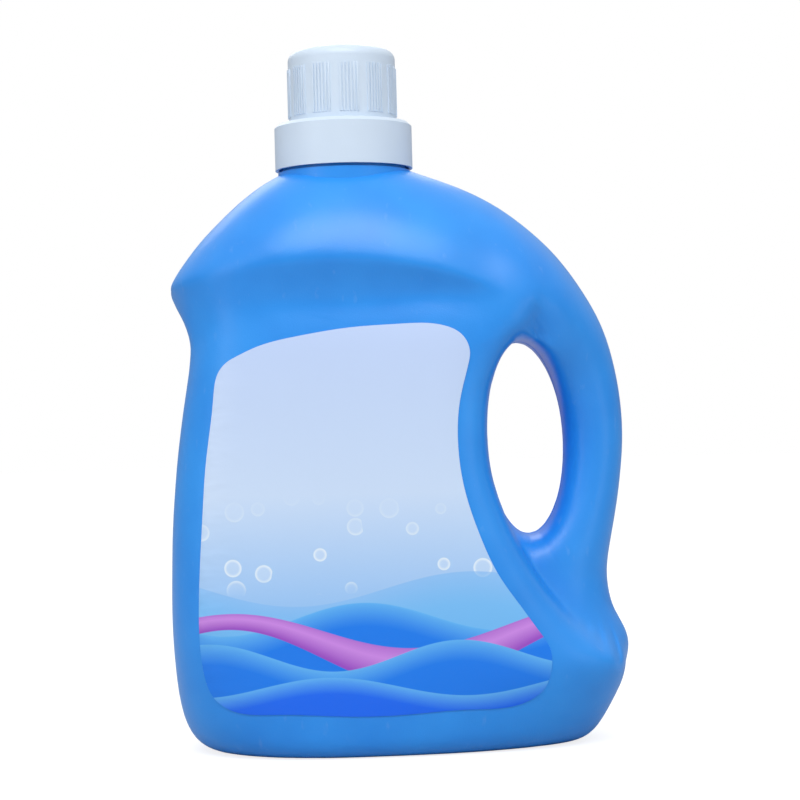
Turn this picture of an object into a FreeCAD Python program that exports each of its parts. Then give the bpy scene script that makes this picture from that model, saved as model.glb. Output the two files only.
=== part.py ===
import FreeCAD, Part
import bisect
import math
import os
import Sketcher

Vector = FreeCAD.Vector

# Driving sizes, in millimetres, degrees or counts. Heights are above the face the bottle stands on.
SIZES = {
    # blown bottle
    "body_width": 199.4,
    "body_height": 257.7,
    "rim_depth": 97.4,
    "panel_depth": 91.0,
    "band_fall": 6.5,
    "handle_depth": 31.4,
    "wall": 1.3,
    "blend": 2.0,
    "base_radius": 8.0,
    "foot_width": 5.0,
    "base_dish": 3.0,
    "dish_slope": 10.0,
    "foot_flat": 0.3,
    # opening for the hand
    "grip_width": 34.2,
    "grip_height": 84.6,
    "grip_reach": 56.2,
    "grip_level": 133.0,
    # neck
    "neck_reach": -20.0,
    "collar_radius": 29.0,
    "collar_drop": 6.3,
    "neck_radius": 27.0,
    "neck_wall": 1.8,
    "neck_height": 17.4,
    # pouring insert
    "fit_gap": 0.1,
    "flange_overlap": 1.4,
    "flange_thickness": 1.2,
    "spout_wall": 1.1,
    "spout_radius": 14.5,
    "well_depth": 12.0,
    "well_fall": 2.0,
    "spout_rise": 20.0,
    "lip_fall": 8.0,
    "drain_width": 6.0,
    "drain_height": 9.0,
    # seal ring
    "seal_inner": 24.0,
    "seal_gap": 0.3,
    "seal_thickness": 1.0,
    # measuring cap
    "cap_wall": 1.5,
    "skirt_gap": 1.2,
    "skirt_radius": 30.2,
    "skirt_bevel": 1.6,
    "cup_radius": 23.6,
    "cup_height": 32.0,
    "cup_round": 4.2,
    "web_thickness": 1.6,
    "rib_height": 0.45,
    "rib_width": 0.8,
    "rib_length": 21.0,
    "rib_start": 3.0,
    "rib_step": 3.6,
    "ribs_in_group": 4,
    "rib_groups": 12,
    # labels
    "film": 0.25,
    "film_gap": 0.12,
    "back_label_share": 0.9,
}

# Ribs of the front half: where each starts on the outline (x, height) and the angle at which it
# ends on the edge of the hand opening. They are drawn at full size and scaled to the driving sizes.
RIBS = [
    (99.4, 137.0, 4), (98.2, 153.5, 20), (95.4, 168.0, 36), (91.0, 181.8, 49), (85.0, 193.6, 58),
    (76.8, 206.2, 66), (66.5, 218.4, 72), (49.1, 233.2, 78), (33.1, 242.5, 82), (11.0, 251.0, 86),
    (-5.0, 256.5, 88.5), (-20.0, 258.0, 91), (-36.0, 256.0, 93.5), (-52.7, 249.1, 96),
    (-64.9, 240.6, 98.5), (-74.3, 232.1, 101), (-82.9, 223.5, 103.5), (-89.8, 214.8, 106),
    (-93.0, 210.5, 107.5), (-95.7, 206.2, 109), (-97.3, 203.4, 110), (-97.7, 201.0, 111),
    (-96.9, 197.4, 112.5), (-94.3, 192.9, 114), (-91.4, 188.4, 116), (-89.3, 184.0, 118),
    (-88.1, 179.5, 120), (-87.7, 175.1, 123), (-89.3, 166.0, 128), (-92.4, 149.0, 140),
    (-96.2, 122.0, 165), (-98.7, 92.0, 187), (-99.7, 56.0, 206), (-98.8, 33.0, 215.5),
    (-97.2, 20.0, 220), (-95.0, 11.6, 223), (-92.6, 7.0, 224.7), (-89.8, 3.8, 226.2),
    (-86.2, 1.5, 227.7), (-81.5, 0.2, 229.5), (-76.0, 0.0, 231.5), (-60.0, 0.0, 236),
    (-20.0, 0.0, 246), (20.0, 0.0, 255), (50.0, 0.0, 261), (66.0, 0.0, 264.2),
    (72.5, 0.1, 265.4), (77.0, 0.9, 266.3), (81.0, 2.9, 267.1), (84.2, 5.8, 267.9),
    (87.2, 9.9, 268.8), (92.0, 18.5, 270.5), (96.2, 28.0, 272),
    (99.0, 37.0, 273.5), (99.7, 42.4, 274.5), (98.9, 46.6, 275.5), (96.8, 51.2, 277),
    (93.6, 57.2, 280), (91.6, 64.6, 286), (90.9, 73.4, 295), (91.9, 82.2, 306),
    (95.4, 99.8, 330), (98.1, 117.3, 347),
]
# Rim of the overhanging dome and the foot of the band under it, as (x, height).
RIM = [(-97.6, 201.8), (-89, 204), (-67, 208.3), (-45, 210.8), (-28, 211.3), (-10, 210.4),
       (10, 207.6), (30, 202.8), (45, 197.5), (56.2, 193), (70, 187), (85, 180)]
BAND = [(-97.6, 200), (-92, 192), (-86, 180), (-74, 184), (-58, 188.6), (-40, 192), (-20, 193.8),
        (4, 194.2), (22, 193.6), (40, 191.4), (56.2, 188), (70, 184), (85, 178)]
# Side edges of the label panel where neither the outline nor the hand opening bounds it: (height, x).
PANEL_UPPER_LEFT = [(190, -84), (205, -79), (220, -70), (240, -50)]
PANEL_ROOT = [(34, 97.6), (38, 96.8), (42, 92.5), (46, 86.5), (54, 76.5), (60, 70.6), (67, 64.6),
              (77, 57.6), (88, 51.5), (95, 48)]
PANEL_UPPER_RIGHT = [(178, 54), (186, 60), (195, 64), (205, 62), (220, 55), (240, 40)]
# Front label outline, as (x, height).
LABEL = [(-67.8, 170.2), (-74.8, 163.2), (-76.7, 152.8), (-80.3, 127.7), (-82.6, 102.6),
         (-84.5, 77.6), (-85.2, 52.5), (-83.5, 35.7), (-80.0, 27.2), (-74.7, 22.9), (-51.7, 20.2),
         (-30.8, 19.2), (-1.4, 18.8), (27.9, 20.2), (53.1, 22.9), (59.5, 27.8), (62.6, 36.0),
         (62.4, 44.4), (58.0, 52.1), (50.0, 63.6), (41.9, 75.6), (34.0, 93.3), (28.2, 112.3),
         (25.8, 133.3), (27.1, 150.0), (30.9, 164.7), (31.8, 170.8), (28.7, 177.7), (21.7, 181.6),
         (2.9, 182.9), (-18.1, 181.9), (-39.1, 179.0), (-55.9, 175.3)]
# Shares of the half depth of the panel over the height, and of the handle over the direction seen
# from the middle of the hand opening.
PANEL_CROWN = [(0, 0.96), (30, 0.995), (60, 1.0), (110, 1.0), (150, 0.998), (172, 0.985),
               (182, 0.965), (189, 0.935), (195, 0.885), (203, 0.8), (212, 0.67), (225, 0.35),
               (235, 0.0)]
RIM_CROWN = [(-28, 1.0), (0, 0.99), (20, 0.955), (40, 0.88), (56.2, 0.795), (70, 0.64), (85, 0.45)]
ARM_CROWN = [(-130, 1.8), (-110, 1.75), (-90, 1.63), (-80, 1.51), (-72, 1.41), (-62, 1.27),
             (-48, 1.12), (-33, 1.035), (-16, 1.0), (4, 1.0), (22, 1.05), (39, 1.16), (50, 1.34),
             (60, 1.6), (70, 1.95), (80, 2.3), (90, 2.56), (110, 2.73)]
# How square the handle's section is on its hand side, over the same direction.
ARM_SQUARENESS = [(-130, 3.2), (-90, 3.0), (-60, 2.4), (-40, 2.2), (10, 2.2), (30, 2.3), (50, 2.8),
                  (70, 3.6), (90, 5.0)]
# How square the panel's plan is towards its left and right edges, over the height.
LEFT_SQUARENESS = [(0, 2.0), (25, 2.7), (60, 3.4)]
RIGHT_SQUARENESS = [(0, 2.1), (22, 3.0), (45, 5.0), (75, 8.0)]
ROUND_SECTION = 2.15
RIM_SQUARENESS = 2.5
DOME_LEAN = 0.2
BAND_CURVE = 0.4
FOOT_BLEND = 1.6
SHOULDER_BLEND = 2.2
PANEL_MIDDLE = -32.0
GRIP_LEAN = 0.03
FOOT_SWELL = 0.45
# Where one form passes into the next, as (start, end) over x or over the height, at full size.
ARM_ACROSS = (34, 74)
ARM_TOP_ACROSS = (30, 46)
ARM_TOP_HEIGHT = (190, 172)
SWELL_ACROSS = (20, 60)
SWELL_HEIGHT = (75, 35)
FOOT_ACROSS = (40, 70)
FOOT_HEIGHT = (70, 40)
SHOULDER_ACROSS = (32, 50)
SHOULDER_HEIGHT = (158, 176)
DISH_LEFT = (-78, -60)
DISH_RIGHT = (50, 68)
# Height of the dome's lower end, and the (x, height) that bound the waist and the foot's corner.
DOME_END = 150
WAIST_CORNER = (-80, 176)
FOOT_CORNER = (72, 30)
# Spacing of the label sheets' control points and their overlap past the outline, and the height
# under which the skin belongs to the base.
SHEET_PITCH = 4.0
SHEET_MARGIN = 5.0
BASE_SKIN = 0.6
# Points over each rib: up its wall at either end, and across it.
RISE_STEPS = 6
OVER_STEPS = 90
COLUMNS = 120
ROWS = 40
PATCHES = 12


class Size:
    """A length with the expression that gives it, so that a sketch follows the sheet."""

    def __init__(self, value, text):
        self.value = float(value)
        self.text = text

    @staticmethod
    def of(other):
        return other if isinstance(other, Size) else Size(other, str(other))

    def join(self, other, sign, value):
        return Size(value, "(%s %s %s)" % (self.text, sign, other.text))

    def __add__(self, other):
        other = Size.of(other)
        return self.join(other, "+", self.value + other.value)

    def __sub__(self, other):
        other = Size.of(other)
        return self.join(other, "-", self.value - other.value)

    def __mul__(self, other):
        other = Size.of(other)
        return self.join(other, "*", self.value * other.value)

    def __truediv__(self, other):
        other = Size.of(other)
        return self.join(other, "/", self.value / other.value)

    def __neg__(self):
        return Size(-self.value, "(0 - %s)" % self.text)


class Sizes:
    """The sheet of driving sizes: its cells by name, as values that carry their expression."""

    @property
    def collar_top(self):
        return self.body_height - self.collar_drop

    @property
    def neck_top(self):
        return self.collar_top + self.neck_height

    def __init__(self, doc):
        self.sheet = doc.addObject("Spreadsheet::Sheet", "Sizes")
        for row, (name, value) in enumerate(SIZES.items(), start=1):
            self.sheet.set("A%d" % row, name)
            self.sheet.set("B%d" % row, str(value))
            self.sheet.setAlias("B%d" % row, name)
        doc.recompute()

    def __getattr__(self, name):
        return Size(self.sheet.get(name), "Sizes.%s" % name)


def track(stations, at):
    """The value at one place of a smooth curve through stations, with no overshoot."""
    places = [place for place, value in stations]
    values = [value for place, value in stations]
    if at <= places[0]:
        return values[0]
    if at >= places[-1]:
        return values[-1]
    last = len(stations) - 1

    def rise(k):
        return (values[k + 1] - values[k]) / (places[k + 1] - places[k])

    def slope(k):
        if k == 0:
            return rise(0)
        if k == last:
            return rise(last - 1)
        before = rise(k - 1)
        after = rise(k)
        return 0.0 if before * after <= 0 else 2 * before * after / (before + after)

    k = bisect.bisect_right(places, at) - 1
    step = places[k + 1] - places[k]
    t = (at - places[k]) / step
    start = (1 + 2 * t) * (1 - t) ** 2 * values[k] + t * (1 - t) ** 2 * step * slope(k)
    end = t * t * (3 - 2 * t) * values[k + 1] + t * t * (t - 1) * step * slope(k + 1)
    return start + end


def ramp(low, high, at):
    """A smooth step from 0 at low to 1 at high."""
    t = max(0.0, min(1.0, (at - low) / (high - low)))
    return t * t * (3 - 2 * t)


def arch(share, squareness):
    """Height of a superellipse of height 1, at a share of its half width."""
    share = min(abs(share), 1.0)
    return (1 - share ** squareness) ** (1 / squareness)


def distance_to(line, x, z):
    """Distance in the parting plane from a point to a closed line."""
    nearest = math.inf
    for (ax, az), (bx, bz) in zip(line[-1:] + line[:-1], line):
        dx = bx - ax
        dz = bz - az
        t = max(0.0, min(1.0, ((x - ax) * dx + (z - az) * dz) / (dx * dx + dz * dz)))
        nearest = min(nearest, math.hypot(ax + t * dx - x, az + t * dz - z))
    return nearest


class BottleForm:
    """The outer skin of the bottle: how deep it is over each point of the parting plane."""

    def __init__(self, s):
        self.s = {name: getattr(s, name).value for name in SIZES}
        drawn_width = max(rib[0] for rib in RIBS) - min(rib[0] for rib in RIBS)
        drawn_height = max(rib[1] for rib in RIBS)
        self.sx = self.s["body_width"] / drawn_width
        self.sz = self.s["body_height"] / drawn_height
        self.ribs = [(x * self.sx, z * self.sz, turn) for x, z, turn in RIBS]
        self.rim = self.along(RIM)
        self.band = self.along(BAND)
        self.rim_crown = [(x * self.sx, share) for x, share in RIM_CROWN]
        self.panel_crown = [(z * self.sz, share) for z, share in PANEL_CROWN]
        self.left_squareness = [(z * self.sz, power) for z, power in LEFT_SQUARENESS]
        self.right_squareness = [(z * self.sz, power) for z, power in RIGHT_SQUARENESS]
        self.top = sorted((x, z) for x, z, turn in self.ribs if 30 < turn < 111)
        waist_x, waist_z = WAIST_CORNER
        foot_x, foot_z = FOOT_CORNER
        left = sorted((z, x) for x, z, turn in RIBS if x < waist_x and 0 < z < waist_z)
        foot = sorted((z, x) for x, z, turn in RIBS if x > foot_x and 0 < z < foot_z)
        beside_grip = sorted(self.grip_edge(turn)[::-1] for turn in range(123, 224, 2))
        self.left = self.up(left + PANEL_UPPER_LEFT)
        self.right = self.up(foot + PANEL_ROOT) + beside_grip + self.up(PANEL_UPPER_RIGHT)
        self.grip = [self.grip_edge(turn) for turn in range(0, 360, 5)]
        self.outline = self.outline_curve()
        self.edge = [(x, z) for x, z, turn in self.outline]

    def along(self, points):
        return [(x * self.sx, z * self.sz) for x, z in points]

    def up(self, points):
        return [(z * self.sz, x * self.sx) for z, x in points]

    def grip_edge(self, turn):
        """A point on the edge of the hand opening, an ellipse that leans with the handle."""
        angle = math.radians(turn)
        half_width = self.s["grip_width"] / 2
        half_height = self.s["grip_height"] / 2
        reach = math.hypot(half_height * math.cos(angle), half_width * math.sin(angle))
        radius = half_width * half_height / reach
        across = radius * math.cos(angle)
        up = radius * math.sin(angle)
        return self.s["grip_reach"] + across - GRIP_LEAN * up, self.s["grip_level"] + up

    def outline_curve(self):
        """Evenly spread starts of the ribs, on one closed curve through the drawn ones."""
        run = [0.0]
        for (ax, az, _), (bx, bz, _) in zip(self.ribs, self.ribs[1:] + self.ribs[:1]):
            run.append(run[-1] + math.sqrt(math.hypot(bx - ax, bz - az)))
        shares = [length / run[-1] for length in run]
        curve = Part.BSplineCurve()
        points = [Vector(x, 0, z) for x, z, turn in self.ribs]
        curve.interpolate(Points=points, PeriodicFlag=True, Parameters=shares)
        turns = [turn for x, z, turn in self.ribs]
        turning = list(zip(shares, turns + [turns[0] + 360]))
        starts = []
        for column in range(COLUMNS):
            at = column / COLUMNS
            point = curve.value(at)
            starts.append((point.x, point.z, track(turning, at)))
        return starts

    def panel_half(self, z):
        half = self.s["panel_depth"] / 2 * track(self.panel_crown, z)
        radius = self.s["base_radius"]
        if z < radius:
            half -= radius - math.sqrt(radius ** 2 - (radius - max(z, 0.0)) ** 2)
        return half

    def panel_depth(self, x, z):
        middle = PANEL_MIDDLE * self.sx
        if x > middle:
            share = (x - middle) / (track(self.right, z) - middle)
            return self.panel_half(z) * arch(share, track(self.right_squareness, z))
        share = (middle - x) / (middle - track(self.left, z))
        return self.panel_half(z) * arch(share, track(self.left_squareness, z))

    def rim_half(self, x):
        half = self.s["rim_depth"] / 2
        crown_start = self.rim_crown[0][0]
        if x > crown_start:
            return half * track(self.rim_crown, x)
        return half * arch((crown_start - x) / (crown_start - self.rim[0][0]), RIM_SQUARENESS)

    def dome_depth(self, x, z):
        """The dome above its rim, and the band that slopes in below the rim."""
        rim = track(self.rim, x)
        half = self.rim_half(x)
        if z >= rim:
            rise = min((z - rim) / max(track(self.top, x) - rim, 0.01), 1.0)
            return half * ((1 - DOME_LEAN) * arch(rise, ROUND_SECTION) + DOME_LEAN * (1 - rise))
        band = track(self.band, x)
        fall = min(max(half - self.panel_depth(x, band), 0.0), self.s["band_fall"])
        sink = (rim - z) / max(rim - band, 1.0)
        if sink > 1:
            return max(0.0, half - fall * sink)
        return half - fall * ((1 + BAND_CURVE) - BAND_CURVE * sink) * sink

    def arm_depth(self, x, z):
        """The handle, a rounded bar between the hand opening and the outline."""
        direction = math.degrees(math.atan2(z - self.s["grip_level"], x - self.s["grip_reach"]))
        if direction < ARM_CROWN[0][0]:
            direction += 360
        inside = distance_to(self.grip, x, z)
        outside = distance_to(self.edge, x, z)
        share = (inside - outside) / (inside + outside + 1e-9)
        squareness = track(ARM_SQUARENESS, direction) if share < 0 else ROUND_SECTION
        half = self.s["handle_depth"] / 2 * track(ARM_CROWN, direction)
        swell = FOOT_SWELL * ramp(*SWELL_HEIGHT, z / self.sz) * ramp(*SWELL_ACROSS, x / self.sx)
        return half * (1 + swell) * arch(share, squareness)

    def depth(self, x, z):
        """Half depth of the bottle at a point of the parting plane."""
        level = z / self.sz
        across = x / self.sx
        beside_dome = ramp(*ARM_TOP_HEIGHT, level) * ramp(*ARM_TOP_ACROSS, across)
        to_arm = max(ramp(*ARM_ACROSS, across), beside_dome)
        upper = 0.0
        if to_arm < 1 and level > DOME_END:
            upper += self.dome_depth(x, z) * (1 - to_arm)
        if to_arm > 0:
            upper += self.arm_depth(x, z) * to_arm
        panel = self.panel_depth(x, z)
        foot_blend = FOOT_BLEND * ramp(*FOOT_HEIGHT, level) * ramp(*FOOT_ACROSS, across)
        shoulder = SHOULDER_BLEND * ramp(*SHOULDER_HEIGHT, level) * ramp(*SHOULDER_ACROSS, across)
        blend = self.s["blend"] * (1 + foot_blend + shoulder)
        return (panel + upper + math.hypot(panel - upper, blend)) / 2

    def dish(self, x, y):
        """How far the hollow of the base is raised, inside the ring that the bottle stands on."""
        ends = ramp(*DISH_LEFT, x / self.sx) * (1 - ramp(*DISH_RIGHT, x / self.sx))
        inside = self.panel_depth(x, 0.0) - self.s["foot_width"] - abs(y)
        return self.s["base_dish"] * ends * ramp(0.0, self.s["dish_slope"], inside)

    def rib_line(self, x, z, turn):
        """Evenly spaced points over the skin, from the outline to the hand opening."""
        end_x, end_z = self.grip_edge(turn)
        near = 1e-3
        first = self.depth(x + (end_x - x) * near, z + (end_z - z) * near)
        last = self.depth(end_x + (x - end_x) * near, end_z + (z - end_z) * near)
        path = [(x, first * k / RISE_STEPS, z) for k in range(RISE_STEPS + 1)]
        for k in range(1, OVER_STEPS):
            t = k / OVER_STEPS
            t -= 0.9 * math.sin(2 * math.pi * t) / (2 * math.pi)
            at_x = x + (end_x - x) * t
            at_z = z + (end_z - z) * t
            path.append((at_x, self.depth(at_x, at_z), at_z))
        path += [(end_x, last * k / RISE_STEPS, end_z) for k in range(RISE_STEPS, -1, -1)]
        run = [0.0]
        for a, b in zip(path, path[1:]):
            run.append(run[-1] + math.dist(a, b))
        line = []
        for row in range(ROWS):
            want = run[-1] * row / (ROWS - 1)
            k = min(max(bisect.bisect_right(run, want) - 1, 0), len(path) - 2)
            share = (want - run[k]) / max(run[k + 1] - run[k], 1e-9)
            point = Vector(*path[k]) + (Vector(*path[k + 1]) - Vector(*path[k])) * share
            if max(z, point.z) < BASE_SKIN * self.sz:
                point.z += self.dish(point.x, point.y)
            point.z -= self.s["foot_flat"]
            line.append(point)
        line[0].y = 0.0
        line[-1].y = 0.0
        return line

    def skin(self):
        """Control points of the back half, one line of them for each rib."""
        return [self.rib_line(*start) for start in self.outline]


def set_in(skin, wall):
    """The same control points moved inwards by a wall."""
    moved = []
    for column, line in enumerate(skin):
        before = skin[column - 1]
        after = skin[(column + 1) % len(skin)]
        inner = []
        for row, point in enumerate(line):
            if row == 0:
                across = Vector(0, line[1].y, 0)
            elif row == ROWS - 1:
                across = Vector(0, -line[-2].y, 0)
            else:
                across = line[row + 1] - line[row - 1]
            normal = (after[row] - before[row]).cross(across)
            normal.normalize()
            inner.append(point + normal * wall)
        inner[0].y = 0.0
        inner[-1].y = 0.0
        moved.append(inner)
    return moved


def half_skin(skin, side):
    """One half of a skin as patches of one smooth surface, on the back or, mirrored, on the front."""
    poles = [[Vector(p.x, side * p.y, p.z) for p in line] for line in skin]
    round_knots = list(range(COLUMNS + 1))
    across_knots = list(range(ROWS - 2))
    across_counts = [4] + [1] * (ROWS - 4) + [4]
    surface = Part.BSplineSurface()
    surface.buildFromPolesMultsKnots(
        poles, [1] * (COLUMNS + 1), across_counts, round_knots, across_knots, True, False, 3, 3)
    span = COLUMNS // PATCHES
    patches = []
    for patch in range(PATCHES):
        part_of = surface.copy()
        part_of.segment(patch * span, (patch + 1) * span, 0, ROWS - 3)
        patches.append(part_of.toShape())
    return patches


def solid_from(faces):
    shell = Part.makeShell(faces)
    shell.sewShape()
    solid = Part.makeSolid(shell)
    if solid.Volume < 0:
        solid.reverse()
    return solid


def closed_skin(skin):
    return solid_from(half_skin(skin, -1) + half_skin(skin, 1))


def top_face(shape, height):
    return next(face for face in shape.Faces if face.BoundBox.ZMin > height - 0.01)


def bottle_shape(form, s):
    """Outer skin with the neck on it, and the cavity with the bore, joined at the mouth."""
    axis = Vector(s.neck_reach.value, 0, 0)
    root = s.collar_top.value - s.base_radius.value
    mouth = s.neck_top.value
    bore = s.neck_radius.value - s.neck_wall.value
    skin = form.skin()
    collar = Part.makeCylinder(s.collar_radius.value, s.base_radius.value, axis + Vector(0, 0, root))
    neck = Part.makeCylinder(s.neck_radius.value, mouth - root, axis + Vector(0, 0, root))
    outer = closed_skin(skin).fuse(collar.fuse(neck))
    span = 2 * s.body_width.value
    above_floor = Part.makeBox(span, span, span, Vector(-span / 2, -span / 2, 0))
    outer = outer.common(above_floor)
    inner = closed_skin(set_in(skin, s.wall.value))
    inner = inner.fuse(Part.makeCylinder(bore, mouth - root, axis + Vector(0, 0, root)))
    outer_top = top_face(outer, mouth)
    inner_top = top_face(inner, mouth)
    lip = Part.Face(outer_top.OuterWire).cut(Part.Face(inner_top.OuterWire)).Faces
    walls = [face for face in outer.Faces if not face.isSame(outer_top)]
    walls += [face for face in inner.Faces if not face.isSame(inner_top)]
    return solid_from(walls + lip)


def label_shape(form, s, side, share):
    """A thin film on the panel: its sheet follows the panel, trimmed to the label's outline."""
    outline = form.along(LABEL)
    middle_x = sum(x for x, z in outline) / len(outline)
    middle_z = sum(z for x, z in outline) / len(outline)
    outline = [(middle_x + (x - middle_x) * share, middle_z + (z - middle_z) * share)
               for x, z in outline]
    margin = SHEET_MARGIN
    pitch = SHEET_PITCH * form.sx
    low_x = min(x for x, z in outline) - margin
    low_z = min(z for x, z in outline) - margin
    count_x = int((max(x for x, z in outline) + margin - low_x) / pitch) + 2
    count_z = int((max(z for x, z in outline) + margin - low_z) / pitch) + 2
    poles = []
    for i in range(count_x):
        x = low_x + i * pitch
        column = []
        for k in range(count_z):
            z = low_z + k * pitch
            y = side * (form.depth(x, z) + s.film_gap.value)
            column.append(Vector(x, y, z - s.foot_flat.value))
        poles.append(column)
    surface = Part.BSplineSurface()
    surface.buildFromPolesMultsKnots(
        poles,
        [4] + [1] * (count_x - 4) + [4],
        [4] + [1] * (count_z - 4) + [4],
        list(range(count_x - 2)),
        list(range(count_z - 2)),
        False, False, 3, 3)
    edge = Part.BSplineCurve()
    edge.interpolate(Points=[Vector(x, 0, z) for x, z in outline], PeriodicFlag=True)
    reach = s.rim_depth.value
    cutter = Part.Face(Part.Wire([edge.toShape()])).extrude(Vector(0, side * reach, 0))
    sheet = surface.toShape().common(cutter).Faces[0]
    return sheet.extrude(Vector(0, side * s.film.value, 0))


def plane_of(body, role):
    return next(item for item in body.Origin.OriginFeatures if item.Role == role)


def new_sketch(body, name, role):
    sketch = body.newObject("Sketcher::SketchObject", name)
    sketch.AttachmentSupport = [(plane_of(body, role), "")]
    sketch.MapMode = "FlatFace"
    return sketch


def draw(sketch, corners):
    """A closed polygon whose corners are held to the sheet's values."""
    points = [Vector(x.value, y.value, 0) for x, y in corners]
    first = sketch.GeometryCount
    for start, end in zip(points, points[1:] + points[:1]):
        sketch.addGeometry(Part.LineSegment(start, end), False)
    for k in range(len(points)):
        following = first + (k + 1) % len(points)
        sketch.addConstraint(Sketcher.Constraint("Coincident", first + k, 2, following, 1))
    for k, corner in enumerate(corners):
        for kind, axis, length in (("DistanceX", -2, corner[0]), ("DistanceY", -1, corner[1])):
            if length.value == 0:
                hold = Sketcher.Constraint("PointOnObject", first + k, 1, axis)
                sketch.addConstraint(hold)
                continue
            hold = Sketcher.Constraint(kind, -1, 1, first + k, 1, length.value)
            index = sketch.addConstraint(hold)
            sketch.setExpression("Constraints[%d]" % index, length.text)


def turned_body(doc, name, corners, s):
    """A body turned round the neck's axis from its section, given as (radius, height)."""
    body = doc.addObject("PartDesign::Body", name)
    body.Label = name
    sketch = new_sketch(body, name + "_section", "XZ_Plane")
    draw(sketch, corners)
    turn = body.newObject("PartDesign::Revolution", name + "_turn")
    turn.Profile = sketch
    turn.ReferenceAxis = (sketch, ["V_Axis"])
    turn.Angle = 360
    sketch.Visibility = False
    body.setExpression("Placement.Base.x", s.neck_reach.text)
    doc.recompute()
    return body


def make_spout(doc, s):
    """Pouring insert: a plug that seats in the neck, a draining well and a tube with a lip."""
    plug = s.neck_radius - s.neck_wall - s.fit_gap
    flange = plug + s.flange_overlap
    seat = s.neck_top
    face = seat + s.flange_thickness
    floor = seat - s.well_depth
    tip = seat + s.spout_rise
    tube_inside = s.spout_radius - s.spout_wall
    body = turned_body(doc, "pour_spout", [
        (flange, seat), (flange, face), (plug - s.spout_wall, face),
        (plug - s.spout_wall, floor + s.well_fall), (s.spout_radius, floor),
        (s.spout_radius, tip), (tube_inside, tip), (tube_inside, floor - s.spout_wall),
        (plug, floor + s.well_fall - s.spout_wall), (plug, seat)], s)
    slant = new_sketch(body, "lip_slant", "XZ_Plane")
    left = -s.spout_radius
    draw(slant, [(left, tip), (s.spout_radius, tip - s.lip_fall),
                 (s.spout_radius + s.spout_wall, tip - s.lip_fall),
                 (s.spout_radius + s.spout_wall, tip + s.spout_wall), (left, tip + s.spout_wall)])
    lip = body.newObject("PartDesign::Pocket", "lip_cut")
    lip.Profile = slant
    lip.Midplane = True
    lip.setExpression("Length", (s.spout_radius * 4).text)
    doc.recompute()
    window = new_sketch(body, "drain_window", "YZ_Plane")
    half = s.drain_width / 2
    draw(window, [(-half, floor), (half, floor), (half, floor + s.drain_height),
                  (-half, floor + s.drain_height)])
    drain = body.newObject("PartDesign::Pocket", "drain_cut")
    drain.Profile = window
    drain.Reversed = True
    drain.setExpression("Length", (s.spout_radius + s.spout_wall).text)
    doc.recompute()
    return body


def make_seal(doc, s):
    """Soft ring that the cap presses on the flange of the pouring insert."""
    seat = s.neck_top + s.flange_thickness
    outer = s.skirt_radius - s.cap_wall - s.seal_gap
    return turned_body(doc, "seal_ring", [
        (s.seal_inner, seat), (outer, seat), (outer, seat + s.seal_thickness),
        (s.seal_inner, seat + s.seal_thickness)], s)


def make_cap(doc, s):
    """Measuring cap in one moulding: a skirt over the neck and a ribbed cup on a web."""
    web = s.neck_top + s.flange_thickness + s.seal_thickness
    shoulder = web + s.web_thickness
    crown = web + s.cup_height + s.cap_wall
    bottom = s.collar_top + s.skirt_gap
    skirt_inside = s.skirt_radius - s.cap_wall
    cup_inside = s.cup_radius - s.cap_wall
    nought = Size(0, "0")
    body = turned_body(doc, "cap", [
        (s.skirt_radius, bottom), (s.skirt_radius, shoulder - s.skirt_bevel),
        (s.skirt_radius - s.skirt_bevel, shoulder), (s.cup_radius, shoulder),
        (s.cup_radius, crown), (nought, crown), (nought, crown - s.cap_wall),
        (cup_inside, crown - s.cap_wall), (cup_inside, web), (skirt_inside, web),
        (skirt_inside, bottom)], s)
    top_edges = []
    for number, edge in enumerate(body.Shape.Edges, start=1):
        box = edge.BoundBox
        if box.ZMin > crown.value - 0.01 and box.XLength > s.cup_radius.value:
            top_edges.append("Edge%d" % number)
    turned = body.Tip
    rounding = body.newObject("PartDesign::Fillet", "cup_rounding")
    rounding.Base = (turned, top_edges)
    rounding.setExpression("Radius", s.cup_round.text)
    doc.recompute()
    rib = new_sketch(body, "rib_section", "XY_Plane")
    half = s.rib_width / 2
    root = s.cup_radius - s.rib_height
    proud = s.cup_radius + s.rib_height
    draw(rib, [(root, -half), (proud, -half), (proud, half), (root, half)])
    rib.setExpression("AttachmentOffset.Base.z", (shoulder + s.rib_start).text)
    ridge = body.newObject("PartDesign::Pad", "rib")
    ridge.Profile = rib
    ridge.setExpression("Length", s.rib_length.text)
    doc.recompute()
    pattern = body.newObject("PartDesign::MultiTransform", "ribs")
    pattern.Originals = [ridge]
    group = doc.addObject("PartDesign::PolarPattern", "rib_group")
    group.Axis = (rib, ["N_Axis"])
    group.Mode = "Spacing"
    group.setExpression("Offset", s.rib_step.text)
    group.setExpression("Occurrences", s.ribs_in_group.text)
    around = doc.addObject("PartDesign::PolarPattern", "rib_round")
    around.Axis = (rib, ["N_Axis"])
    around.Angle = 360
    around.setExpression("Occurrences", s.rib_groups.text)
    pattern.Transformations = [group, around]
    body.addObject(group)
    body.addObject(around)
    body.Tip = pattern
    doc.recompute()
    return body


def make_feature(doc, name, shape):
    feature = doc.addObject("Part::Feature", name)
    feature.Label = name
    feature.Shape = shape
    feature.Placement = FreeCAD.Placement()
    return feature


def check(doc, pieces):
    """Stop before anything is written if a feature failed or a piece is not a sound solid."""
    for item in doc.Objects:
        if "Invalid" in item.State or "Error" in item.State:
            raise RuntimeError("%s failed: %s" % (item.Label, item.State))
    for piece in pieces:
        if piece.Shape.isNull() or not piece.Shape.isValid() or not piece.Shape.Solids:
            raise RuntimeError("%s is not a valid solid" % piece.Label)


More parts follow.
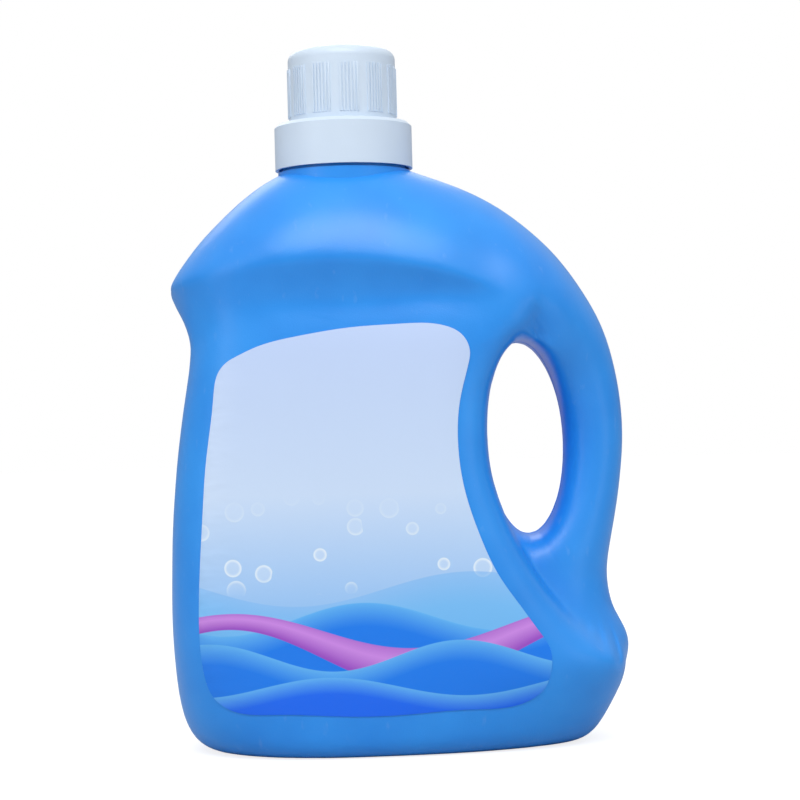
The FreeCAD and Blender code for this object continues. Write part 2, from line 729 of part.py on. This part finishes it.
def main():
    doc = FreeCAD.newDocument("detergent_bottle")
    s = Sizes(doc)
    form = BottleForm(s)
    pieces = [
        make_feature(doc, "bottle", bottle_shape(form, s)),
        make_feature(doc, "front_label", label_shape(form, s, -1, 1.0)),
        make_feature(doc, "back_label", label_shape(form, s, 1, s.back_label_share.value)),
        make_spout(doc, s),
        make_seal(doc, s),
        make_cap(doc, s),
    ]
    doc.recompute()
    check(doc, pieces)
    os.makedirs("parts", exist_ok=True)
    for piece in pieces:
        piece.Shape.exportStep("parts/%s.step" % piece.Label)
        box = piece.Shape.BoundBox
        print(piece.Label, round(piece.Shape.Volume, 1), len(piece.Shape.Solids), "solids", box)


main()
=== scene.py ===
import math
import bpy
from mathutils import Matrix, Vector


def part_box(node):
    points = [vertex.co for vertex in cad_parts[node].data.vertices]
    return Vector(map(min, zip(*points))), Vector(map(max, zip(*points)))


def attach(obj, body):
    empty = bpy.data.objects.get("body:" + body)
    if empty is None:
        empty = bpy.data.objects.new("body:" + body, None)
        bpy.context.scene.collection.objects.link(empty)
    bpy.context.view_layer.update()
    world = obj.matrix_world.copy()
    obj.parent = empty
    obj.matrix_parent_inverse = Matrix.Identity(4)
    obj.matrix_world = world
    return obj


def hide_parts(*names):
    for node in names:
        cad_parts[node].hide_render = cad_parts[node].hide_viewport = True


bl_info = {
    "name": "Detergent Bottle",
    "version": (1, 0, 0),
    "blender": (4, 5, 0),
    "location": "View3D > Sidebar > Bottle",
    "description": "Dresses a blow-moulded laundry detergent bottle with its closure and labels",
    "category": "Object",
}

import bpy
from mathutils import Matrix, Vector

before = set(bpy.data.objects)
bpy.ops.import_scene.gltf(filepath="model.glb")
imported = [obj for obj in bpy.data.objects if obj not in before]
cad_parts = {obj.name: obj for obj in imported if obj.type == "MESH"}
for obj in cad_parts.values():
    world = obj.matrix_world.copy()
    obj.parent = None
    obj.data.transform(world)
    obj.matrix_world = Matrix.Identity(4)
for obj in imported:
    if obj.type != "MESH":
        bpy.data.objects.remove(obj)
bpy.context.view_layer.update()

MM = 0.001
CAP_LOW, CAP_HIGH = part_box("cap")
SKIRT_FOOT = CAP_LOW.z
CUP_TOP = CAP_HIGH.z
NECK_X = (CAP_LOW.x + CAP_HIGH.x) / 2
NECK_RADIUS = 27.0 * MM
SKIRT_BORE = 28.7 * MM
CUP_RADIUS = 23.6 * MM
NECK_THREAD_START = SKIRT_FOOT + 2.4 * MM
CAP_THREAD_START = SKIRT_FOOT + 4.6 * MM
WHITE = (1.0, 1.0, 1.0)

# Corners of the bottle nearer to each other than this are one corner.
WELD = 0.004 * MM
# How near to the middle plane a corner of the parting line lies.
ON_PLANE = 0.002 * MM
# A closed run of more corners than this is the rim of the hand opening.
RING_CORNERS = 40


def colour(name, default, words):
    return bpy.props.FloatVectorProperty(
        name=name, description=words, default=default, size=3, min=0, max=1, subtype="COLOR")


def length(name, default, words):
    return bpy.props.FloatProperty(
        name=name, description=words, default=default, min=0, unit="LENGTH", precision=5)


def number(name, default, words):
    return bpy.props.FloatProperty(name=name, description=words, default=default, min=0)


class BottlePlastic(bpy.types.PropertyGroup):
    """Colour and finish of the blown body."""
    tint: colour("Bottle", (0.014, 0.26, 0.84), "Colour of the blown plastic")
    thin_tint: colour("Thin wall", (0.024, 0.31, 0.89), "Colour where the wall was stretched thin")
    gloss_roughness: number("Roughness", 0.34, "Roughness of the moulded skin")
    grain: length("Grain", 0.05 * MM, "Height of the fine grain left by the mould")
    ripple: length("Ripple", 0.12 * MM, "Height of the slow waviness of a blown wall")
    seam_radius: length("Seam", 0.16 * MM, "Radius of the bead on the parting line")
    seam_start: length("Seam start", 14.0 * MM, "Height at which the bead starts over the base")
    seam_end: length("Seam end", 9.0 * MM, "Distance at which it ends under the cap")


class ClosurePlastic(bpy.types.PropertyGroup):
    """Colour and finish of the cap, the spout and the seal, and the sizes of threads and ribs."""
    cap_tint: colour("Cap", (0.62, 0.73, 0.86), "Colour of the cap")
    spout_tint: colour("Spout", (0.8, 0.86, 0.92), "Colour of the pouring spout")
    foam_tint: colour("Foam", (0.86, 0.86, 0.83), "Colour of the seal ring")
    roughness: number("Roughness", 0.36, "Roughness of the moulded closure")
    thread_pitch: length("Pitch", 4.2 * MM, "Rise of the thread in one turn")
    thread_height: length("Thread height", 0.7 * MM, "How far each thread stands proud")
    thread_sink: length("Thread sink", 0.2 * MM, "How far its foot lies inside the wall")
    thread_width: length("Thread width", 1.7 * MM, "Width of each thread at its root")
    thread_turns: number("Turns", 1.25, "Turns of thread on the neck and in the cap")
    rib_height: length("Rib height", 0.45 * MM, "How far a rib stands out of the cup")
    rib_width: length("Rib width", 0.8 * MM, "Width of a rib on the cup")
    rib_length: length("Rib length", 21.0 * MM, "Length of a rib on the cup")
    rib_end: length("Rib end", 7.9 * MM, "Distance of the ribs' upper ends from the cap's top")


class LabelPrint(bpy.types.PropertyGroup):
    """Colours of the printed film."""
    top: colour("Top", (0.53, 0.66, 0.93), "Colour along the label's top")
    middle: colour("Middle", (0.6, 0.74, 0.95), "Colour at the label's mid height")
    sky: colour("Sky", (0.25, 0.53, 0.93), "Colour over the waves")
    crest: colour("Crest", (0.13, 0.5, 0.94), "Colour along the crests of the waves")
    water: colour("Water", (0.0, 0.2, 0.86), "Colour of the upper waves")
    deep: colour("Deep water", (0.0, 0.14, 0.9), "Colour of the lowest wave")
    violet: colour("Violet", (0.33, 0.07, 0.56), "Darker colour of the ribbon wave")
    pink: colour("Pink", (0.62, 0.26, 0.8), "Lighter colour of the ribbon wave")
    roughness: number("Roughness", 0.3, "Roughness of the film")


class StudioLight(bpy.types.PropertyGroup):
    """Strength of the lamps and the room."""
    key: number("Key", 7.9, "Power of the large lamp over the front")
    side: number("Side", 1.7, "Power of the lamp at the side away from the handle")
    fill: number("Fill", 0.9, "Power of the low lamp at the handle's side")
    back: number("Back", 2.6, "Power of the lamp behind")
    room_high: number("Room above", 0.84, "Level of the room's light from above")
    room_low: number("Room beside", 0.25, "Level of the room's light from the side and below")
    floor_tone: number("Floor", 0.55, "How much light the floor sends back to the bottle")
    floor_glow: number("Floor glow", 1.3, "How far the floor is lifted to white for the camera")


class Number:
    """A number at a socket: an expression on it adds its Math nodes."""

    def __init__(self, shader, socket):
        self.shader = shader
        self.socket = socket

    def maths(self, operation, *values, clamp=False):
        settings = {"operation": operation, "use_clamp": clamp}
        node = self.shader.node("ShaderNodeMath", settings, dict(enumerate((self,) + values)))
        return Number(self.shader, node.outputs[0])

    def __add__(self, other):
        return self.maths("ADD", other)

    __radd__ = __add__

    def __mul__(self, other):
        return self.maths("MULTIPLY", other)

    __rmul__ = __mul__

    def __sub__(self, other):
        return self.maths("SUBTRACT", other)

    def __rsub__(self, other):
        return (self * -1.0) + other

    def __truediv__(self, other):
        return self.maths("DIVIDE", other)

    def __pow__(self, other):
        return self.maths("POWER", other)

    def clamp(self):
        return self.maths("ADD", 0.0, clamp=True)

    def sine(self):
        return self.maths("SINE")

    def size(self):
        return self.maths("ABSOLUTE")


class Nodes:
    """The nodes of one tree."""

    def __init__(self, tree):
        self.tree = tree

    def node(self, kind, settings, inputs):
        """A node of one type: its settings are set first, then its sockets' values or links."""
        node = self.tree.nodes.new(kind)
        for name, value in settings.items():
            setattr(node, name, value)
        for name, value in inputs.items():
            self.feed(node.inputs[name], value)
        return node

    def feed(self, socket, value):
        if isinstance(value, Number):
            value = value.socket
        if isinstance(value, bpy.types.NodeSocket):
            self.tree.links.new(value, socket)
        elif socket.type == "RGBA":
            socket.default_value = (*value, 1.0)
        else:
            socket.default_value = value

    def mix(self, factor, first, second):
        """A colour between two colours."""
        settings = {"data_type": "RGBA", "clamp_factor": True}
        return self.node("ShaderNodeMix", settings, {0: factor, 6: first, 7: second}).outputs[2]

    def blend(self, factor, first, second):
        """A surface or a light between two of them."""
        return self.node("ShaderNodeMixShader", {}, {0: factor, 1: first, 2: second}).outputs[0]


class Shader(Nodes):
    """The nodes of one material around its Principled BSDF."""

    def __init__(self, name):
        self.material = bpy.data.materials.new(name)
        self.material.use_nodes = True
        super().__init__(self.material.node_tree)
        self.surface = self.tree.nodes["Principled BSDF"]
        self.place = self.node("ShaderNodeTexCoord", {}, {}).outputs["Object"]
        parts = self.node("ShaderNodeSeparateXYZ", {}, {"Vector": self.place})
        self.x, self.y, self.z = (Number(self, out) / MM for out in parts.outputs)

    def set(self, **sockets):
        for name, value in sockets.items():
            self.feed(self.surface.inputs[name.replace("_", " ")], value)

    def stretched(self, across, deep, up):
        """The place on the piece, stretched by a scale along each axis."""
        return self.node("ShaderNodeMapping", {}, {
            "Vector": self.place, "Scale": (across, deep, up)}).outputs[0]

    def noise(self, size, detail=2.0, place=None):
        """Soft noise from 0 to 1 with spots of a size in millimetres."""
        inputs = {"Vector": place or self.place, "Scale": 1 / (size * MM), "Detail": detail}
        return Number(self, self.node("ShaderNodeTexNoise", {}, inputs).outputs["Fac"])

    def bump(self, height, reach, strength=1.0, under=None):
        """Relief of a height from 0 to 1 that stands for reach metres."""
        inputs = {"Height": height, "Distance": reach, "Strength": strength}
        if under:
            inputs["Normal"] = under
        return self.node("ShaderNodeBump", {}, inputs).outputs[0]


# Sizes in millimetres of the cloudy tone, the scuffs, the fine grain and the slow ripple of a skin.
CLOUD_SIZE = 45
SCUFF_SIZE = 3.5
GRAIN_SIZE = 0.55
RIPPLE_SIZE = 26
SCUFF_TINT = (0.9, 0.95, 1.0)
SCUFF_SHARE = 0.06


def moulded_plastic(name, tint, roughness, grain, spread=0.06, edge_tint=None):
    """Moulded plastic: fine grain, faint scuffs and a slightly uneven tone."""
    shader = Shader(name)
    darker = tuple(part * (1 - spread) for part in tint)
    lighter = edge_tint or tuple(min(1.0, part * (1 + spread)) for part in tint)
    cloud = (shader.noise(CLOUD_SIZE, 3) * 2.2 - 0.6).clamp()
    scuffs = (shader.noise(SCUFF_SIZE, 5, shader.stretched(1.0, 1.0, 0.35)) * 6 - 3.9).clamp()
    clean = shader.mix(cloud, darker, lighter)
    shader.set(Base_Color=shader.mix(scuffs * SCUFF_SHARE, clean, SCUFF_TINT))
    fine = shader.noise(GRAIN_SIZE, 2)
    shader.set(Roughness=fine * 0.08 + scuffs * 0.12 + cloud * 0.03 + (roughness - 0.05))
    shader.set(Normal=shader.bump(fine, grain))
    return shader


def bottle_plastic(settings):
    """Satin blown polyethylene, with the slow ripple of its wall."""
    shader = moulded_plastic(
        "satin_blown_blue", tuple(settings.tint), settings.gloss_roughness, settings.grain,
        edge_tint=tuple(settings.thin_tint))
    grain = shader.surface.inputs["Normal"].links[0].from_socket
    slow = shader.noise(RIPPLE_SIZE, 1, shader.stretched(1.0, 1.0, 0.55))
    shader.set(Normal=shader.bump(slow, settings.ripple * 6, 0.35, under=grain))
    return shader.material


# Heights in millimetres from which the label's field turns upwards to its top's colour and
# downwards to the sky's, and the way that each turn takes.
TOP_FIELD, TOP_REACH = 110, 65
SKY_FIELD, SKY_REACH = 112, 60
# Where the creases at the label's free edge begin, and over what width they grow.
CREASE_START, CREASE_REACH = -58, -26
# Sizes in millimetres of the film's patches of sheen, its creases, its slack and its fine grain.
SHEEN_SIZE = 30
CREASE_SIZE = 7
SLACK_SIZE = 24
FILM_GRAIN_SIZE = 0.8
# Heights of the creases, the slack and the grain.
CREASE_HEIGHT = 0.35 * MM
SLACK_HEIGHT = 1.2 * MM
FILM_GRAIN_HEIGHT = 0.012 * MM


def label_film(name, settings):
    """Printed film: a pale field that turns to sky blue, over waves drawn as fields of colour."""
    shader = Shader(name)
    x, z = shader.x, shader.z
    field = shader.mix((z - TOP_FIELD) / TOP_REACH, tuple(settings.middle), tuple(settings.top))
    field = shader.mix((SKY_FIELD - z) / SKY_REACH, field, tuple(settings.sky))
    shader.set(Base_Color=drawn_waves(shader, field, settings, x, z))
    shader.set(Roughness=shader.noise(SHEEN_SIZE, 2) * 0.04 + settings.roughness)
    folds = (shader.noise(CREASE_SIZE, 1, shader.stretched(0.5, 1.0, 1.3)) * 2.4 - 0.7).clamp()
    at_edge = ((x - CREASE_START) / CREASE_REACH).clamp()
    slack = shader.noise(SLACK_SIZE, 0, shader.stretched(1.0, 1.0, 0.12))
    film = shader.bump(slack, SLACK_HEIGHT, 0.5)
    creased = shader.bump(folds * at_edge, CREASE_HEIGHT, 0.6, under=film)
    grain = shader.noise(FILM_GRAIN_SIZE, 1)
    shader.set(Normal=shader.bump(grain, FILM_GRAIN_HEIGHT, under=creased))
    return shader.material


# Each wave: mean height, swing, wave length and shift, in millimetres and radians. The ribbon's
# width follows such a line too.
UPPER_WAVE = (72.0, 6.5, 142.0, 0.3)
SECOND_WAVE = (60.0, 6.5, 118.0, 2.4)
RIBBON_WAVE = (55.0, 8.0, 150.0, 4.5)
THIRD_WAVE = (44.0, 6.0, 104.0, 0.1)
DEEP_WAVE = (31.0, 4.5, 120.0, 3.2)
RIBBON_WIDTH = (12.0, 5.0, 170.0, 1.2)
# Sharpness of a drawn edge, in shares of its full step for each millimetre.
EDGE = 3.0
# Spacing of the bubbles, and the heights between which they are drawn, in millimetres.
BUBBLE_STEP = 13.0
BUBBLE_LOW, BUBBLE_HIGH = 70, 112
BUBBLE_TINT = (0.86, 0.94, 1.0)


def wave(x, line):
    level, swing, span, shift = line
    return (x * (2 * math.pi / span) + shift).sine() * swing + level


def bubbles(shader, x, z):
    """How much of a bubble's colour shows at a place: thin discs with a brighter rim."""
    cells = shader.node("ShaderNodeTexVoronoi", {"voronoi_dimensions": "2D"}, {
        "Vector": shader.node("ShaderNodeCombineXYZ", {}, {0: x, 1: z}).outputs[0],
        "Scale": 1 / BUBBLE_STEP, "Randomness": 0.75})
    spread = Number(shader, cells.outputs["Distance"])
    pick = Number(shader, shader.node(
        "ShaderNodeSeparateColor", {}, {0: cells.outputs["Color"]}).outputs[0])
    radius = pick * 0.3 + 0.05
    inside = ((radius - spread) * 30).clamp()
    rim = (1 - ((radius - spread) * 12 - 0.4).size()).clamp()
    over_waves = ((z - BUBBLE_LOW) / 8).clamp() * ((BUBBLE_HIGH - z) / 24).clamp()
    return inside * over_waves * ((pick - 0.45) * 20).clamp() * (rim * 0.6 + 0.25)


def drawn_waves(shader, field, settings, x, z):
    """Overlapping waves with pale crests, a violet ribbon wave and a few bubbles over them."""
    crest = tuple(settings.crest)
    water = tuple(settings.water)
    deep = tuple(settings.deep)
    sky = tuple(settings.sky)

    def below(top):
        return ((top - z) * EDGE).clamp()

    def laid(field, line, reach, near, far, share=1.0):
        top = wave(x, line)
        fading = shader.mix(((top - z) / reach) ** 0.7, near, far)
        return shader.mix(below(top) * share, field, fading)

    field = shader.mix(bubbles(shader, x, z), field, BUBBLE_TINT)
    field = laid(field, UPPER_WAVE, 14, sky, crest, 0.7)
    field = laid(field, SECOND_WAVE, 10, crest, water)
    top = wave(x, RIBBON_WAVE)
    width = wave(x, RIBBON_WIDTH)
    band = below(top) * ((z - top + width) * EDGE).clamp()
    ridge = (((top - z) / width - 0.32).size() * 1.7).clamp()
    violet = shader.mix(ridge, tuple(settings.pink), tuple(settings.violet))
    field = shader.mix(band, field, violet)
    field = laid(field, THIRD_WAVE, 9, crest, water)
    return laid(field, DEEP_WAVE, 7, crest, deep)


def deselect():
    for item in bpy.context.selected_objects:
        item.select_set(False)


def select(*pieces):
    """Select these pieces alone, the first one as the active one."""
    deselect()
    for piece in pieces:
        piece.select_set(True)
    bpy.context.view_layer.objects.active = pieces[0]


def linked(name, data):
    """A new object of the scene."""
    item = bpy.data.objects.new(name, data)
    bpy.context.scene.collection.objects.link(item)
    return item


def edit(piece, mode):
    """Select one piece, go into edit mode and choose what its elements are picked by."""
    if bpy.context.object and bpy.context.object.mode == "EDIT":
        bpy.ops.object.mode_set(mode="OBJECT")
    select(piece)
    bpy.ops.object.mode_set(mode="EDIT")
    bpy.ops.mesh.select_mode(type=mode)


def done():
    bpy.ops.object.mode_set(mode="OBJECT")


def finish_piece(piece, name, material, smooth_angle=35):
    """Name a piece, bring its place into its mesh and give it its material."""
    select(piece)
    bpy.ops.object.transform_apply(location=True, rotation=True, scale=True)
    bpy.ops.object.shade_smooth_by_angle(angle=math.radians(smooth_angle))
    piece.name = name
    piece.data.name = name
    piece.data.materials.clear()
    piece.data.materials.append(material)
    return piece


def welded_copy(node):
    """A copy of a CAD node whose triangles are joined."""
    piece = linked(node + "_copy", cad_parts[node].data.copy())
    edit(piece, "VERT")
    bpy.ops.mesh.select_all(action="SELECT")
    bpy.ops.mesh.remove_doubles(threshold=WELD)
    bpy.ops.mesh.customdata_custom_splitnormals_clear()
    done()
    return piece


def dress(node, material):
    """Give a CAD node its material."""
    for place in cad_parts[node].material_slots:
        place.material = material


class BOTTLE_OT_body(bpy.types.Operator):
    """The blown bottle as one smooth skin, with the bead of its parting line"""
    bl_idname = "bottle.body"
    bl_label = "Blown bottle"

    def execute(self, context):
        settings = context.scene.bottle_plastic
        plastic = bottle_plastic(settings)
        skin = finish_piece(welded_copy("bottle"), "blown_bottle", plastic)
        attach(skin, "bottle")
        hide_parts("bottle")
        for bead in parting_beads(skin, settings, plastic):
            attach(bead, "bottle")
        return {"FINISHED"}


def across(piece):
    """The least and the greatest x of a piece."""
    places = [corner.co.x for corner in piece.data.vertices]
    return min(places), max(places)


def parting_beads(skin, settings, plastic):
    """Beads along the parting line: up either side of the bottle, and round the hand opening."""
    copy = linked("parting_line", skin.data.copy())
    edit(copy, "VERT")
    bpy.ops.mesh.select_all(action="DESELECT")
    done()
    top = SKIRT_FOOT - settings.seam_end
    for corner in copy.data.vertices:
        on_line = abs(corner.co.y) < ON_PLANE and settings.seam_start < corner.co.z < top
        corner.select = not on_line
    bpy.ops.object.mode_set(mode="EDIT")
    bpy.ops.mesh.delete(type="VERT")
    bpy.ops.mesh.separate(type="LOOSE")
    done()
    lines = list(bpy.context.selected_objects)
    rings = [line for line in lines if len(line.data.edges) == len(line.data.vertices) > RING_CORNERS]
    kept = {
        "seam_left": min(lines, key=lambda line: across(line)[0]),
        "seam_right": max(lines, key=lambda line: across(line)[1]),
        "seam_grip": min(rings, key=lambda line: across(line)[1] - across(line)[0])}
    for line in lines:
        if line not in kept.values():
            bpy.data.objects.remove(line)
    for line in kept.values():
        select(line)
        bpy.ops.object.convert(target="CURVE")
        line.data.bevel_depth = settings.seam_radius
        line.data.bevel_resolution = 1
        line.data.use_fill_caps = True
        bpy.ops.object.convert(target="MESH")
    return [finish_piece(line, name, plastic, 60) for name, line in kept.items()]


# Width of a thread's crest over its root's, the steps in one turn, and the steps of its thinned ends.
CREST_SHARE = 0.35
TURN_STEPS = 72
END_STEPS = 9


def thread_ridge(name, root_radius, height, start, settings, material):
    """One run of thread: a section screwed round the neck's axis, thinned towards its ends."""
    deselect()
    bpy.ops.mesh.primitive_plane_add(size=1, location=(NECK_X, 0, start))
    ridge = bpy.context.object
    foot = settings.thread_width / 2
    crest = foot * CREST_SHARE
    section = [(0, -foot), (height, -crest), (0, foot), (height, crest)]
    for corner, (out, up) in zip(ridge.data.vertices, section):
        corner.co = (root_radius + out, 0, up)
    steps = int(TURN_STEPS * settings.thread_turns)
    screw = ridge.modifiers.new("screw", "SCREW")
    screw.angle = 2 * math.pi * settings.thread_turns
    screw.screw_offset = settings.thread_pitch * settings.thread_turns
    screw.steps = steps
    screw.render_steps = steps
    bpy.ops.object.modifier_apply(modifier=screw.name)
    for corner in ridge.data.vertices:
        turned = corner.index // len(section)
        share = min(1.0, (min(turned, steps - turned) + 0.3) / END_STEPS)
        flat = Vector((corner.co.x, corner.co.y, 0))
        out = flat.length - root_radius
        corner.co.x *= (root_radius + out * share) / flat.length
        corner.co.y *= (root_radius + out * share) / flat.length
    edit(ridge, "EDGE")
    bpy.ops.mesh.select_all(action="DESELECT")
    bpy.ops.mesh.select_non_manifold()
    bpy.ops.mesh.edge_face_add()
    bpy.ops.mesh.select_all(action="SELECT")
    bpy.ops.mesh.normals_make_consistent(inside=False)
    done()
    return finish_piece(ridge, name, material, 50)


class BOTTLE_OT_threads(bpy.types.Operator):
    """The thread round the neck and the one inside the cap's skirt"""
    bl_idname = "bottle.threads"
    bl_label = "Threads"

    def execute(self, context):
        settings = context.scene.closure_plastic
        blue = bpy.data.objects["blown_bottle"].data.materials[0]
        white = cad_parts["cap"].material_slots[0].material
        height = settings.thread_height
        sunk = settings.thread_sink
        on_neck = thread_ridge(
            "neck_thread", NECK_RADIUS - sunk, height + sunk, NECK_THREAD_START, settings, blue)
        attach(on_neck, "bottle")
        in_cap = thread_ridge(
            "cap_thread", SKIRT_BORE + sunk, -height - sunk, CAP_THREAD_START, settings, white)
        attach(in_cap, "cap")
        return {"FINISHED"}


# Ribs added to each group of four on the cup, and the angle from one rib to the next in degrees.
RIB_GROUPS = 12
RIB_STEP = 3.6
ADDED_RIBS = (4, 5)
RIB_EDGE = 0.12 * MM


def cup_rib(settings):
    """One rib with softened edges, on the cup's wall at the side of the handle."""
    deselect()
    middle = CUP_TOP - settings.rib_end - settings.rib_length / 2
    bpy.ops.mesh.primitive_cube_add(size=1, location=(NECK_X + CUP_RADIUS, 0, middle))
    rib = bpy.context.object
    rib.scale = (2 * settings.rib_height, settings.rib_width, settings.rib_length)
    bpy.ops.object.transform_apply(location=True, rotation=True, scale=True)
    soft = rib.modifiers.new("soft", "BEVEL")
    soft.width = RIB_EDGE
    soft.segments = 2
    bpy.ops.object.modifier_apply(modifier=soft.name)
    return rib


class BOTTLE_OT_ribs(bpy.types.Operator):
    """Further fine ribs that widen each group on the cup"""
    bl_idname = "bottle.ribs"
    bl_label = "Cap ribs"

    def execute(self, context):
        rib = cup_rib(context.scene.closure_plastic)
        axis = Matrix.Translation((NECK_X, 0, 0))
        ribs = []
        for group in range(RIB_GROUPS):
            for place in ADDED_RIBS:
                turn = math.radians(group * 360 / RIB_GROUPS + place * RIB_STEP)
                copy = linked("rib", rib.data.copy())
                copy.data.transform(axis @ Matrix.Rotation(turn, 4, "Z") @ axis.inverted())
                ribs.append(copy)
        bpy.data.objects.remove(rib)
        select(*ribs)
        bpy.ops.object.join()
        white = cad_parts["cap"].material_slots[0].material
        joined = finish_piece(ribs[0], "cap_ribs", white, 40)
        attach(joined, "cap")
        return {"FINISHED"}


class BOTTLE_OT_closure(bpy.types.Operator):
    """Finish of the cap, the pouring spout and the seal ring"""
    bl_idname = "bottle.closure"
    bl_label = "Closure"

    def execute(self, context):
        settings = context.scene.closure_plastic
        finish = {"roughness": settings.roughness, "grain": 0.03 * MM, "spread": 0.03}
        cap = moulded_plastic("satin_cap", tuple(settings.cap_tint), **finish)
        spout = moulded_plastic("satin_spout", tuple(settings.spout_tint), **finish)
        foam = moulded_plastic("seal_foam", tuple(settings.foam_tint), 0.75, 0.2 * MM, 0.05)
        dress("cap", cap.material)
        dress("pour_spout", spout.material)
        dress("seal_ring", foam.material)
        return {"FINISHED"}


class BOTTLE_OT_labels(bpy.types.Operator):
    """Printed film on the front panel and on the back"""
    bl_idname = "bottle.labels"
    bl_label = "Labels"

    def execute(self, context):
        settings = context.scene.label_print
        dress("front_label", label_film("front_film", settings))
        dress("back_label", label_film("back_film", settings))
        return {"FINISHED"}


# Each lamp: its place, its width and height in metres, and the setting with its power.
LAMPS = {
    "key_lamp": ((0.02, -0.86, 1.12), (0.9, 0.5), "key"),
    "side_lamp": ((-1.0, -0.8, 0.4), (0.5, 0.9), "side"),
    "fill_lamp": ((0.9, -0.8, 0.12), (0.5, 0.5), "fill"),
    "back_lamp": ((-0.2, 1.0, 0.9), (0.9, 0.5), "back")}
LAMP_TARGET = Vector((0, 0, 0.16))
CAMERA_PLACE = (0.002, -0.897, 0.1507)
CAMERA_ROLL = 1.5
CAMERA_LENS = 91.6
FLOOR_RADIUS = 4.0
# Colour of the floor for the camera, and the share of its glow there.
PAPER = (0.9, 0.9, 0.9)
GLOW_SHARE = 0.62
# Upward slope of a ray at which the room's light starts to grow and at which it is full.
ROOM_FROM, ROOM_TO = -0.15, 0.75


def add_lamp(name, power):
    place, size, _ = LAMPS[name]
    lamp = bpy.data.lights.new(name, "AREA")
    lamp.energy = power
    lamp.shape = "RECTANGLE"
    lamp.size, lamp.size_y = size
    lamp_object = linked(name, lamp)
    lamp_object.location = place
    facing = LAMP_TARGET - Vector(place)
    lamp_object.rotation_euler = facing.to_track_quat("-Z", "Y").to_euler()


def bare_nodes(owner):
    """The emptied nodes of a material or a world."""
    owner.use_nodes = True
    owner.node_tree.nodes.clear()
    return Nodes(owner.node_tree)


def seen_directly(nodes, rays):
    """1 for what the camera sees directly or through a clear piece."""
    both = {0: rays.outputs["Is Camera Ray"], 1: rays.outputs["Is Transmission Ray"]}
    return Number(nodes, nodes.node("ShaderNodeMath", {"operation": "MAXIMUM"}, both).outputs[0])


def pale_surface(name, settings):
    """A pale floor: lit like paper, but lifted to white for the camera, and duller for the rest."""
    material = bpy.data.materials.new(name)
    nodes = bare_nodes(material)
    rays = nodes.node("ShaderNodeLightPath", {}, {})
    tint = nodes.mix(rays.outputs["Is Camera Ray"], (settings.floor_tone,) * 3, PAPER)
    paper = nodes.node("ShaderNodeBsdfDiffuse", {}, {"Color": tint}).outputs[0]
    glow = nodes.node("ShaderNodeEmission", {}, {"Strength": settings.floor_glow}).outputs[0]
    seen = nodes.blend(seen_directly(nodes, rays) * GLOW_SHARE, paper, glow)
    nodes.node("ShaderNodeOutputMaterial", {}, {0: seen})
    return material


def light_room(settings):
    """A room that is white for the camera and lights the bottle more from above than from the side."""
    world = bpy.data.worlds.new("room")
    nodes = bare_nodes(world)
    rays = nodes.node("ShaderNodeLightPath", {}, {})
    place = nodes.node("ShaderNodeTexCoord", {}, {}).outputs["Generated"]
    up = nodes.node("ShaderNodeSeparateXYZ", {}, {0: place}).outputs["Z"]
    level = nodes.node("ShaderNodeMapRange", {"interpolation_type": "SMOOTHSTEP"}, {
        "Value": up, "From Min": ROOM_FROM, "From Max": ROOM_TO,
        "To Min": settings.room_low, "To Max": settings.room_high}).outputs["Result"]
    room = nodes.node("ShaderNodeBackground", {}, {"Color": WHITE, "Strength": level}).outputs[0]
    white = nodes.node("ShaderNodeBackground", {}, {"Color": WHITE}).outputs[0]
    seen = nodes.blend(seen_directly(nodes, rays), room, white)
    nodes.node("ShaderNodeOutputWorld", {}, {0: seen})
    return world


class BOTTLE_OT_stage(bpy.types.Operator):
    """Pale floor, white room, soft lamps and the camera"""
    bl_idname = "bottle.stage"
    bl_label = "Studio"

    def execute(self, context):
        settings = context.scene.studio_light
        deselect()
        bpy.ops.mesh.primitive_circle_add(vertices=96, radius=FLOOR_RADIUS, fill_type="NGON")
        floor = context.object
        floor.name = "floor"
        floor.data.materials.append(pale_surface("paper_floor", settings))
        context.scene.world = light_room(settings)
        for name, (_, _, setting) in LAMPS.items():
            add_lamp(name, getattr(settings, setting))
        view = bpy.data.cameras.new("camera")
        view.lens = CAMERA_LENS
        camera = linked("camera", view)
        camera.location = CAMERA_PLACE
        camera.rotation_euler = (math.radians(90), math.radians(CAMERA_ROLL), 0)
        context.scene.camera = camera
        context.scene.view_settings.view_transform = "Standard"
        return {"FINISHED"}


class BOTTLE_PT_panel(bpy.types.Panel):
    """Steps and settings of the bottle"""
    bl_label = "Detergent Bottle"
    bl_idname = "BOTTLE_PT_panel"
    bl_space_type = "VIEW_3D"
    bl_region_type = "UI"
    bl_category = "Bottle"

    def draw(self, context):
        for group in GROUPS:
            box = self.layout.box()
            settings = getattr(context.scene, group)
            for name in settings.__annotations__:
                box.prop(settings, name)
        for step in STEPS:
            self.layout.operator(step.bl_idname)


GROUPS = {"bottle_plastic": BottlePlastic, "closure_plastic": ClosurePlastic,
          "label_print": LabelPrint, "studio_light": StudioLight}
STEPS = (BOTTLE_OT_body, BOTTLE_OT_closure, BOTTLE_OT_threads, BOTTLE_OT_ribs, BOTTLE_OT_labels,
         BOTTLE_OT_stage)


def register():
    for group, kind in GROUPS.items():
        bpy.utils.register_class(kind)
        setattr(bpy.types.Scene, group, bpy.props.PointerProperty(type=kind))
    for kind in STEPS + (BOTTLE_PT_panel,):
        bpy.utils.register_class(kind)


def unregister():
    for kind in reversed(STEPS + (BOTTLE_PT_panel,)):
        bpy.utils.unregister_class(kind)
    for group, kind in GROUPS.items():
        delattr(bpy.types.Scene, group)
        bpy.utils.unregister_class(kind)


def main():
    register()
    bpy.ops.bottle.body()
    bpy.ops.bottle.closure()
    bpy.ops.bottle.threads()
    bpy.ops.bottle.ribs()
    bpy.ops.bottle.labels()
    bpy.ops.bottle.stage()


if __name__ == "__main__":
    main()
